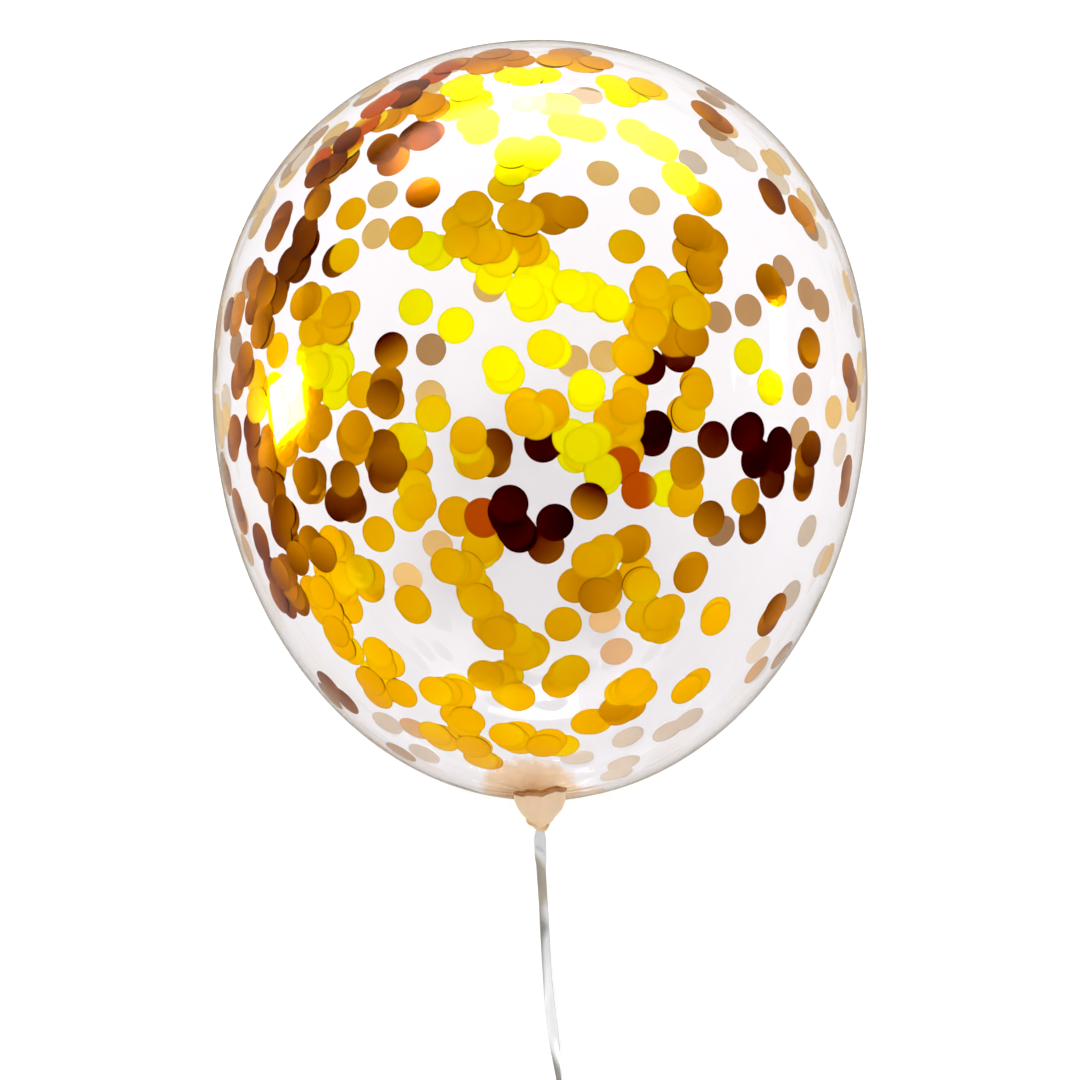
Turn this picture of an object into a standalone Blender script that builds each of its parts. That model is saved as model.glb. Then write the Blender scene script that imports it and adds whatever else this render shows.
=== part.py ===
"""Confetti balloon: an inflated clear latex balloon lying on its side, with its ribbon.

Metres, +Z up, floor at z = 0. The long axis lies along Y with the tied neck towards -Y.
The balloon and the ribbon's tie are modelled upright, crown up and front towards -Y, under an
empty that lays them down with the front facing up.
"""
import math

import bmesh
import bpy
from mathutils import Vector

# Driving sizes of the inflated body, measured along its axis from its widest circle
BODY_RADIUS = 0.140
CROWN_LENGTH = 0.144
LOWER_LENGTH = 0.181
CROWN_FULLNESS = 2.15
FLAT_SPOT_DEPTH = 0.0015

# Neck, from the shoulder where it leaves the body to the knot
SHOULDER_RADIUS = 0.022
STEM_RADIUS = 0.0045
STEM_START = 0.0015
STEM_LENGTH = 0.0040
KNOT_HALF_WIDTH = 0.0058
KNOT_HALF_DEPTH = 0.0050
KNOT_HALF_LENGTH = 0.0052

# Tail: the flattened mouth of the balloon, folded back up over the knot at the front
TAIL_HALF_WIDTH = 0.0108
TAIL_ROOT_HALF_WIDTH = 0.0025
TAIL_ROOT_HALF_THICKNESS = 0.0022
TAIL_MOUTH_HALF_THICKNESS = 0.0019
TAIL_REACH = 0.0140
TAIL_RISE = 0.0105
TAIL_WALL = 0.0009
MOUTH_DEPTH = 0.0045
BEAD_RADIUS = 0.0012

# Ribbon: a flat curling ribbon, drawn here as a round tube as thick as the ribbon is wide
RIBBON_WIDTH = 0.005
RIBBON_SPACING = 2.0
TIE_WIRE_RADIUS = 0.0012
TIE_KNOT_RADIUS = 0.0024
TIE_KNOT_DROP = 0.0012
COIL_MEAN_RADIUS = 0.0265
COIL_BAND = 0.0145
COIL_CENTRE = (-0.0200, -0.3160)
CONTACT_GAP = 0.0003

# Route of the ribbon from its tie to its coil, as (x, y, z)
ROUTE = [
    (0.0000, -0.1614, 0.1291),
    (0.0000, -0.1655, 0.1263),
    (0.0000, -0.1694, 0.1220),
    (0.0001, -0.1724, 0.1160),
    (0.0002, -0.1743, 0.1080),
    (0.0003, -0.1753, 0.0980),
    (0.0005, -0.1757, 0.0860),
    (0.0007, -0.1759, 0.0720),
    (0.0009, -0.1760, 0.0580),
    (0.0011, -0.1762, 0.0450),
    (0.0013, -0.1770, 0.0330),
    (0.0016, -0.1791, 0.0225),
    (0.0019, -0.1833, 0.0135),
    (0.0023, -0.1898, 0.0073),
    (0.0028, -0.1980, 0.0040),
    (0.0034, -0.2075, 0.0029),
    (0.0045, -0.2200, 0.0027),
    (0.0062, -0.2340, 0.0027),
    (0.0080, -0.2480, 0.0027),
    (0.0096, -0.2620, 0.0027),
    (0.0108, -0.2760, 0.0027),
    (0.0116, -0.2880, 0.0027),
    (0.0120, -0.2968, 0.0027),
]

# Facets
BODY_SIDES = 64
CROWN_STEPS = 13
LOWER_STEPS = 17
NECK_STEPS = 8
TAIL_SIDES = 20
TAIL_STEPS = 8
BEAD_STEPS = 6
COIL_SIDES = 48
FLOOR_CUT_SIZE = 1.0

# Places that follow from the sizes
AXIS_HEIGHT = BODY_RADIUS - FLAT_SPOT_DEPTH
SHOULDER_DROP = LOWER_LENGTH * math.sqrt(1 - (SHOULDER_RADIUS / BODY_RADIUS) ** 2)
STEM_DROP = LOWER_LENGTH + STEM_START
KNOT_DROP = STEM_DROP + STEM_LENGTH + KNOT_HALF_LENGTH
TIP_DROP = KNOT_DROP + KNOT_HALF_LENGTH
WIDEST_Y = (TIP_DROP - CROWN_LENGTH) / 2
TIE_DROP = STEM_DROP + STEM_LENGTH / 2


def clear_scene():
    for thing in list(bpy.data.objects):
        bpy.data.objects.remove(thing, do_unlink=True)


def new_collection(name):
    collection = bpy.data.collections.new(name)
    bpy.context.scene.collection.children.link(collection)
    return collection


def new_material(name, colour, roughness, metallic, alpha=1.0):
    material = bpy.data.materials.new(name)
    material.use_nodes = True
    shader = material.node_tree.nodes["Principled BSDF"]
    shader.inputs["Base Color"].default_value = (*colour, 1.0)
    shader.inputs["Roughness"].default_value = roughness
    shader.inputs["Metallic"].default_value = metallic
    shader.inputs["Alpha"].default_value = alpha
    return material


def add_object(name, mesh, collection, parent=None):
    thing = bpy.data.objects.new(name, mesh)
    thing.parent = parent
    collection.objects.link(thing)
    return thing


def hide_cutter(thing):
    thing.hide_render = True
    thing.display_type = "WIRE"
    return thing


def shade_round(mesh):
    mesh.shade_smooth()
    mesh.set_sharp_from_angle(angle=math.radians(40))


def combine(thing, other, operation):
    boolean = thing.modifiers.new(f"{operation.lower()} {other.name}", "BOOLEAN")
    boolean.operation = operation
    boolean.object = other
    boolean.solver = "EXACT"


def body_profile():
    """Right-hand outline (radius, height) from the crown's top down to the end of the stem."""
    points = []
    power = 2 / CROWN_FULLNESS
    for step in range(CROWN_STEPS):
        angle = math.pi / 2 * (1 - step / CROWN_STEPS)
        radius = BODY_RADIUS * math.cos(angle) ** power if step else 0.0
        points.append((radius, CROWN_LENGTH * math.sin(angle) ** power))
    shoulder_angle = math.acos(SHOULDER_RADIUS / BODY_RADIUS)
    for step in range(LOWER_STEPS):
        angle = shoulder_angle * step / LOWER_STEPS
        points.append((BODY_RADIUS * math.cos(angle), -LOWER_LENGTH * math.sin(angle)))
    return points + neck_profile()


def neck_profile():
    """Concave curve that leaves the body at the shoulder and turns down into the stem."""
    shoulder = Vector((SHOULDER_RADIUS, -SHOULDER_DROP))
    slope = (LOWER_LENGTH / BODY_RADIUS) ** 2 * SHOULDER_RADIUS / SHOULDER_DROP
    along_skin = Vector((-1.0, -slope)).normalized() * (SHOULDER_RADIUS - STEM_RADIUS)
    stem_top = Vector((STEM_RADIUS, -STEM_DROP))
    handles = (shoulder, shoulder + 0.7 * along_skin,
               stem_top + Vector((0.0, 0.6 * (STEM_DROP - SHOULDER_DROP))), stem_top)
    points = []
    for step in range(NECK_STEPS + 1):
        t = step / NECK_STEPS
        weights = ((1 - t) ** 3, 3 * t * (1 - t) ** 2, 3 * t ** 2 * (1 - t), t ** 3)
        point = sum((weight * handle for weight, handle in zip(weights, handles)), Vector((0.0, 0.0)))
        points.append(tuple(point))
    return points + [(STEM_RADIUS, -KNOT_DROP), (0.0, -KNOT_DROP)]


def turned_body(collection, parent):
    outline = body_profile()
    mesh = bpy.data.meshes.new("balloon")
    edges = [(i, i + 1) for i in range(len(outline) - 1)]
    mesh.from_pydata([(radius, 0.0, height) for radius, height in outline], edges, [])
    body = add_object("balloon", mesh, collection, parent)
    screw = body.modifiers.new("turn", "SCREW")
    screw.axis = "Z"
    screw.steps = screw.render_steps = BODY_SIDES
    screw.use_merge_vertices = True
    screw.merge_threshold = 0.00005
    screw.use_smooth_shade = True
    return body


def knot_lump(collection, parent):
    mesh = bpy.data.meshes.new("knot")
    builder = bmesh.new()
    bmesh.ops.create_uvsphere(builder, u_segments=20, v_segments=12, radius=1.0)
    size = Vector((KNOT_HALF_WIDTH, KNOT_HALF_DEPTH, KNOT_HALF_LENGTH))
    bmesh.ops.scale(builder, vec=size, verts=builder.verts)
    builder.to_mesh(mesh)
    builder.free()
    lump = add_object("knot", mesh, collection, parent)
    lump.location = (0.0, 0.0, -KNOT_DROP)
    return hide_cutter(lump)


def tail_line():
    """Root and mouth of the tail, and the directions along it and through its thickness."""
    root = Vector((0.0, -TAIL_ROOT_HALF_THICKNESS, -TIP_DROP + TAIL_ROOT_HALF_THICKNESS + CONTACT_GAP))
    mouth = root + Vector((0.0, -TAIL_REACH, TAIL_RISE))
    along = (mouth - root).normalized()
    through = along.cross(Vector((1.0, 0.0, 0.0)))
    return root, mouth, along, through


def tail_section(share, inset):
    """Oval of the tail at a share of its length, shrunk by the inset; share may pass 1."""
    root, mouth, _, through = tail_line()
    spread = 1 - (1 - min(share, 1.0)) ** 2.4
    half_width = TAIL_ROOT_HALF_WIDTH + (TAIL_HALF_WIDTH - TAIL_ROOT_HALF_WIDTH) * spread - inset
    half_thickness = (TAIL_ROOT_HALF_THICKNESS
                      + (TAIL_MOUTH_HALF_THICKNESS - TAIL_ROOT_HALF_THICKNESS) * share - inset)
    centre = root.lerp(mouth, share)
    ring = []
    for side in range(TAIL_SIDES):
        turn = 2 * math.pi * side / TAIL_SIDES
        across = Vector((half_width * math.cos(turn), 0.0, 0.0))
        ring.append(centre + across + through * (half_thickness * math.sin(turn)))
    return ring


def lofted(name, rings, collection, parent):
    """Closed solid through rings of equally many points."""
    mesh = bpy.data.meshes.new(name)
    builder = bmesh.new()
    rows = [[builder.verts.new(point) for point in ring] for ring in rings]
    for lower, upper in zip(rows, rows[1:]):
        for side in range(len(lower)):
            after = (side + 1) % len(lower)
            builder.faces.new((lower[side], lower[after], upper[after], upper[side]))
    builder.faces.new(list(reversed(rows[0])))
    builder.faces.new(rows[-1])
    bmesh.ops.recalc_face_normals(builder, faces=builder.faces)
    builder.to_mesh(mesh)
    builder.free()
    return hide_cutter(add_object(name, mesh, collection, parent))


def tail_solid(collection, parent):
    rings = [tail_section(step / TAIL_STEPS, 0.0) for step in range(TAIL_STEPS + 1)]
    return lofted("tail", rings, collection, parent)


def mouth_hollow(collection, parent):
    _, mouth, along, _ = tail_line()
    length = (mouth - tail_line()[0]).length
    start = 1 - MOUTH_DEPTH / length
    rings = [tail_section(start, TAIL_WALL), tail_section(1 + BEAD_RADIUS * 2 / length, TAIL_WALL)]
    return lofted("mouth hollow", rings, collection, parent)


def rolled_bead(collection, parent):
    """Round-edged rim that the rolled lip makes at the tail's mouth."""
    _, _, along, _ = tail_line()
    rings = []
    for step in range(BEAD_STEPS + 1):
        angle = math.pi * (step / BEAD_STEPS - 0.5)
        shift = along * (BEAD_RADIUS * math.sin(angle))
        rings.append([point + shift for point in tail_section(1.0, -BEAD_RADIUS * math.cos(angle))])
    return lofted("bead", rings, collection, parent)


def curve_to_mesh(curve, name, collection, parent=None):
    drawn = add_object(name + " line", curve, collection, parent)
    bpy.context.view_layer.update()
    mesh = bpy.data.meshes.new_from_object(drawn.evaluated_get(bpy.context.evaluated_depsgraph_get()))
    builder = bmesh.new()
    builder.from_mesh(mesh)
    bmesh.ops.remove_doubles(builder, verts=builder.verts, dist=0.00001)
    bmesh.ops.recalc_face_normals(builder, faces=builder.faces)
    builder.to_mesh(mesh)
    builder.free()
    mesh.name = name
    place = drawn.matrix_world.copy()
    bpy.data.objects.remove(drawn, do_unlink=True)
    made = add_object(name, mesh, collection)
    made.matrix_world = place
    return made


def floor_cutter(collection):
    """Block below the floor, which leaves the small flat spot that the balloon rests on."""
    mesh = bpy.data.meshes.new("floor cut")
    builder = bmesh.new()
    bmesh.ops.create_cube(builder, size=FLOOR_CUT_SIZE)
    builder.to_mesh(mesh)
    builder.free()
    block = add_object("floor cut", mesh, collection)
    block.location = (0.0, WIDEST_Y, -FLOOR_CUT_SIZE / 2)
    return hide_cutter(block)


def make_balloon(parts, cutters, laid):
    balloon = turned_body(parts, laid)
    combine(balloon, knot_lump(cutters, laid), "UNION")
    combine(balloon, tail_solid(cutters, laid), "UNION")
    combine(balloon, rolled_bead(cutters, laid), "UNION")
    combine(balloon, mouth_hollow(cutters, laid), "DIFFERENCE")
    combine(balloon, floor_cutter(cutters), "DIFFERENCE")
    balloon.data.materials.append(new_material("clear latex", (0.93, 0.90, 0.86), 0.08, 0.0, 0.25))
    return balloon


def make_tie(parts, cutters, laid):
    """Ribbon wound round the stem, with its knot at the back, where the free ribbon leaves."""
    ring_radius = STEM_RADIUS + CONTACT_GAP + TIE_WIRE_RADIUS
    bpy.ops.mesh.primitive_torus_add(major_radius=ring_radius, minor_radius=TIE_WIRE_RADIUS,
                                     major_segments=24, minor_segments=10)
    tie = bpy.context.object
    tie.name = tie.data.name = "ribbon_tie"
    for collection in list(tie.users_collection):
        collection.objects.unlink(tie)
    parts.objects.link(tie)
    tie.parent = laid
    tie.location = (0.0, 0.0, -TIE_DROP)
    mesh = bpy.data.meshes.new("tie knot")
    builder = bmesh.new()
    bmesh.ops.create_uvsphere(builder, u_segments=14, v_segments=10, radius=TIE_KNOT_RADIUS)
    builder.to_mesh(mesh)
    builder.free()
    lump = hide_cutter(add_object("tie knot", mesh, cutters, laid))
    lump.location = (0.0, ring_radius + TIE_WIRE_RADIUS + CONTACT_GAP, -TIE_DROP - TIE_KNOT_DROP)
    combine(tie, lump, "UNION")
    shade_round(tie.data)
    return tie


def smooth_route(points, spacing):
    """Evenly spaced points on a smooth curve that passes through the given points."""
    places = [Vector(point) for point in points]
    ends = [2 * places[0] - places[1]] + places + [2 * places[-1] - places[-2]]
    fine = [places[0]]
    for before, start, end, after in zip(ends, ends[1:], ends[2:], ends[3:]):
        for step in range(1, 21):
            t = step / 20
            pull = (end - before) * t + (2 * before - 5 * start + 4 * end - after) * t ** 2
            fine.append(start + 0.5 * (pull + (3 * start - before - 3 * end + after) * t ** 3))
    walked = [0.0]
    for start, end in zip(fine, fine[1:]):
        walked.append(walked[-1] + (end - start).length)
    count = max(2, round(walked[-1] / spacing))
    chosen = []
    for index in range(count + 1):
        wanted = walked[-1] * index / count
        nearest = min(range(len(fine)), key=lambda place: abs(walked[place] - wanted))
        chosen.append(fine[nearest])
    return chosen


def make_ribbon(parts, material):
    curve = bpy.data.curves.new("ribbon", "CURVE")
    curve.dimensions = "3D"
    curve.bevel_depth = RIBBON_WIDTH / 2
    curve.bevel_resolution = 2
    curve.use_fill_caps = True
    line = smooth_route(ROUTE, RIBBON_WIDTH * RIBBON_SPACING)
    spline = curve.splines.new("POLY")
    spline.points.add(len(line) - 1)
    for point, place in zip(spline.points, line):
        point.co = (*place, 1.0)
    ribbon = curve_to_mesh(curve, "ribbon", parts)
    ribbon.data.materials.append(material)
    shade_round(ribbon.data)


def make_coil(parts, material):
    """Turned ring that the wound rest of the ribbon fills."""
    inner = COIL_MEAN_RADIUS - COIL_BAND / 2
    outer = COIL_MEAN_RADIUS + COIL_BAND / 2
    outline = [(inner, RIBBON_WIDTH), (outer, RIBBON_WIDTH), (outer, 0.0), (inner, 0.0)]
    mesh = bpy.data.meshes.new("ribbon_coil")
    edges = [(i, (i + 1) % len(outline)) for i in range(len(outline))]
    mesh.from_pydata([(radius, 0.0, height) for radius, height in outline], edges, [])
    coil = add_object("ribbon_coil", mesh, parts)
    coil.location = (*COIL_CENTRE, 0.0)
    screw = coil.modifiers.new("turn", "SCREW")
    screw.axis = "Z"
    screw.steps = screw.render_steps = COIL_SIDES
    screw.use_merge_vertices = True
    screw.merge_threshold = 0.00005
    coil.data.materials.append(material)


def main():
    clear_scene()
    parts = new_collection("confetti balloon")
    cutters = new_collection("cutters")
    laid = add_object("laid down", None, parts)
    laid.location = (0.0, WIDEST_Y, AXIS_HEIGHT)
    laid.rotation_euler = (-math.pi / 2, 0.0, 0.0)
    bpy.context.view_layer.update()
    make_balloon(parts, cutters, laid)
    ribbon_material = new_material("silver ribbon", (0.86, 0.86, 0.84), 0.35, 0.0)
    tie = make_tie(parts, cutters, laid)
    tie.data.materials.append(ribbon_material)
    make_ribbon(parts, ribbon_material)
    make_coil(parts, ribbon_material)


main()
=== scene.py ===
"""Looks of the confetti balloon: clear skin, knotted neck, foil discs and curling ribbon.

Metres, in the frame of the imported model. The balloon lies along Y with its crown towards +Y,
and its front, the side that the photograph shows, faces up. Shapes are worked out upright,
with x to the right, depth to the back and height up from the widest circle, and laid down by at().
"""
import math
import random

import bmesh
import bpy
from mathutils import Matrix, Vector


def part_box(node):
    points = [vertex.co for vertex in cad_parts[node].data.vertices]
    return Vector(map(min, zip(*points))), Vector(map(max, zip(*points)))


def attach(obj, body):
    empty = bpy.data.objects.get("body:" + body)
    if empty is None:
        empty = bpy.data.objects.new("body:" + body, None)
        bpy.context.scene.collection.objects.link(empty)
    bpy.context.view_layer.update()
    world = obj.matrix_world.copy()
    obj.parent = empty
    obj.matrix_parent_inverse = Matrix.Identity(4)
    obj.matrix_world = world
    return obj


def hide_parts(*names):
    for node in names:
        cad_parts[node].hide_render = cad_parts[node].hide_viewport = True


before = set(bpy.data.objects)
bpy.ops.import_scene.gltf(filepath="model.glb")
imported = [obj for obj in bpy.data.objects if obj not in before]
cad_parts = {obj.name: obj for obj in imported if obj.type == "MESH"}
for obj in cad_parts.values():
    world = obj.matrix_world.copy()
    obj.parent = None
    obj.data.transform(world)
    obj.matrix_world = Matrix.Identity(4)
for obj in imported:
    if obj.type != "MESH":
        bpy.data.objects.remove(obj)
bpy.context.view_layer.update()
balloon_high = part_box("balloon")[1]

# Outline of the body, as in the solids
BODY_RADIUS = balloon_high.x
CROWN_LENGTH = 0.144
LOWER_LENGTH = 0.181
CROWN_FULLNESS = 2.15
SHOULDER_RADIUS = 0.022
STEM_RADIUS = 0.0045
STEM_START = 0.0015
STEM_LENGTH = 0.0040
KNOT_HALF_WIDTH = 0.0058
KNOT_HALF_DEPTH = 0.0050
KNOT_HALF_LENGTH = 0.0052
STEM_DROP = LOWER_LENGTH + STEM_START
KNOT_DROP = STEM_DROP + STEM_LENGTH + KNOT_HALF_LENGTH
TIP_DROP = KNOT_DROP + KNOT_HALF_LENGTH
TIE_DROP = STEM_DROP + STEM_LENGTH / 2
WIDEST_Y = balloon_high.y - CROWN_LENGTH
AXIS_HEIGHT = balloon_high.z - BODY_RADIUS
FLOOR_GAP = 0.0003
SHARP_ANGLE = math.radians(40)

# Curve from the shoulder into the stem, and the steps of each stretch of the outline
SHOULDER_HANDLE = 0.7
STEM_HANDLE = 0.6
CROWN_STEPS = 48
LOWER_STEPS = 64
NECK_STEPS = 24
STEM_STEPS = 8

# Film and its pleats at the neck, each as share of the depth, number of folds and shift
FILM = 0.00018
NECK_FILM = 0.0006
PLEAT_RADIUS = 0.040
PLEAT_DEPTH = 0.06
PLEATS = ((0.6, 9, 0.7), (0.4, 16, 2.1))
FILM_IOR = 1.16

# Tan fan on the film, seen from the front
FAN_REACH = 0.042
FAN_NARROWNESS = 1.8
FAN_SHIFT = -0.004

# Folded tail, as in the solids, and the bead round its mouth, whose curl is in degrees
TAIL_HALF_WIDTH = 0.0108
TAIL_ROOT_HALF_WIDTH = 0.0025
TAIL_ROOT_HALF_THICKNESS = 0.0022
TAIL_MOUTH_HALF_THICKNESS = 0.0014
TAIL_REACH = 0.0140
TAIL_RISE = 0.0105
TAIL_SPREAD = 2.4
TAIL_THINNED = 0.6
TAIL_WALL = 0.0009
TAIL_STEPS = 20
MOUTH_DEPTH = 0.0110
MOUTH_START = 0.93
MOUTH_STEPS = 12
BEAD_RADIUS = 0.0009
BEAD_STEP = 0.0022
BEAD_STEP_LONG = (0.55, 1.0)
BEAD_STEP_WIDE = (-0.1, 0.75)
BEAD_LEVEL = 0.35
BEAD_STEPS = 12
BEAD_FROM = -60
BEAD_ROUND = 300
KNOT_STRAND = 0.0023
KNOT_FOLDS = 0.06

# Ripples of the tail across its width, each as height, waves and shift
TAIL_RIPPLES = ((0.00045, 7.5, 0.9), (0.0002, 17, 0.0))

# Places on the latex ramp, from thin and pale to thick and dark. The bead is thick, and its place
# also paints the crease's shade; the inside of the mouth is painted shade, at the darkest end.
LATEX_ROOT = 0.35
LATEX_TAIL = 0.10
LATEX_KNOT = 0.45
LATEX_BEAD = 0.85
LATEX_MOUTH_SHADE = 1.0

# Shape of a tight overhand knot: the reach of its curve, and the folds along its strand
KNOT_CURVE_WIDTH = 2.6
KNOT_CURVE_LENGTH = 3
KNOT_FOLD_COUNT = 5

# Camera
CAMERA_TILT = math.radians(17)
TILT_COS = math.cos(CAMERA_TILT)
TILT_SIN = math.sin(CAMERA_TILT)
CAMERA_DISTANCE = 1.7
FRAME_WIDTH = 0.463
FRAME_CENTRE_DROP = 0.0677
SENSOR_WIDTH = 36.0

# Search for what the camera sees at a place, its limit near the body's ends, and the steps that
# bring a point onto the body
SEARCH_STEPS = 60
SEARCH_PULL = 0.4
SEARCH_LIMIT = 0.985
WALL_STEPS = 3

# Foil discs: their shape and layers, and the belt, in degrees, past the outline that is seen
DISC_SEED = 11
DISC_RADIUS = 0.0075
DISC_SIDES = 24
DISC_RINGS = (0.0, 0.86, 1.0)
DISC_THICKNESS = 0.00008
DISC_GAP = 0.0004
DISC_LAYER = 0.00009
LOOSE_TILT = math.radians(2.5)
RIM_DISCS = 110
RIM_START = -9.0
RIM_END = 17.0
RIM_THIN_BELOW = -0.06
RIM_KEPT = 0.4
RIM_LOWEST = -0.97
HIDDEN_DISCS = 100

# Ribbon
RIBBON_WIDTH = 0.005
RIBBON_THICKNESS = 0.00022
RIBBON_LENGTH = 1.2
RIBBON_COLUMNS = 12
RIBBON_BOW = 0.00035
RIBBON_RIB = 0.00004
RIBBON_STEP = 0.002
COIL_CENTRE = (-0.0200, -0.3160)
COIL_OUTER = 0.0325
COIL_INNER = 0.0200
LEAD_STEPS = 8
PINCHED_WIDTH = 0.42
PINCH_END = 0.014

# Twist of the ribbon by the length along it: while it hangs, while it lies loose and wavy on the
# floor, and as it comes on edge round the start of its coil
HANG_TWIST = math.radians(38)
HANG_START = (0.012, 0.045)
HANG_END = (0.110, 0.165)
LYING_START = (0.110, 0.190)
LYING_TWIST = math.radians(48)
LYING_WAVE = math.radians(18)
LYING_WAVE_LENGTH = 0.062
LYING_FLATNESS = 0.5
EDGE_BEFORE = 0.030
EDGE_AFTER = 0.020

# Ribbon wound and gathered round the stem: each turn's lift, lean and radius, and its section
TIE_TURNS = ((0.0007, 0.10, 0.0056), (-0.0006, -0.13, 0.0061))
TIE_SECTION = ((-1, -1), (-0.4, -1.6), (0.4, -0.6), (1, -1), (1, 1), (0.4, 1.5), (-0.4, 0.6), (-1, 1))
TIE_STEPS = 72
TIE_HALF_WIDTH = 0.0012
TIE_HALF_THICKNESS = 0.00022
TIE_TILT = 3
TIE_WOBBLE = 0.0002
TIE_WAVES = 5
TIE_WAVE_SHIFT = 900
TIE_KNOT_DEPTH = 0.0075
TIE_KNOT_DROP = 0.0012
TIE_KNOT_HALVES = (0.0014, 0.0008, 0.0014)
TIE_KNOT_STRAND = 0.0010
TIE_KNOT_FOLDS = 0.12

# Way of the ribbon from the tie to the start of its coil
ROUTE = [
    (0.0000, -0.1614, 0.1291), (0.0000, -0.1655, 0.1263), (0.0000, -0.1694, 0.1220),
    (0.0001, -0.1724, 0.1160), (0.0002, -0.1743, 0.1080), (0.0003, -0.1753, 0.0980),
    (0.0005, -0.1757, 0.0860), (0.0007, -0.1759, 0.0720), (0.0009, -0.1760, 0.0580),
    (0.0011, -0.1762, 0.0450), (0.0013, -0.1770, 0.0330), (0.0016, -0.1791, 0.0225),
    (0.0019, -0.1833, 0.0135), (0.0023, -0.1898, 0.0073), (0.0028, -0.1980, 0.0040),
    (0.0034, -0.2075, 0.0029), (0.0045, -0.2200, 0.0027), (0.0062, -0.2340, 0.0027),
    (0.0080, -0.2480, 0.0027), (0.0096, -0.2620, 0.0027), (0.0108, -0.2760, 0.0027),
    (0.0116, -0.2880, 0.0027), (0.0120, -0.2968, 0.0027),
]
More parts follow.
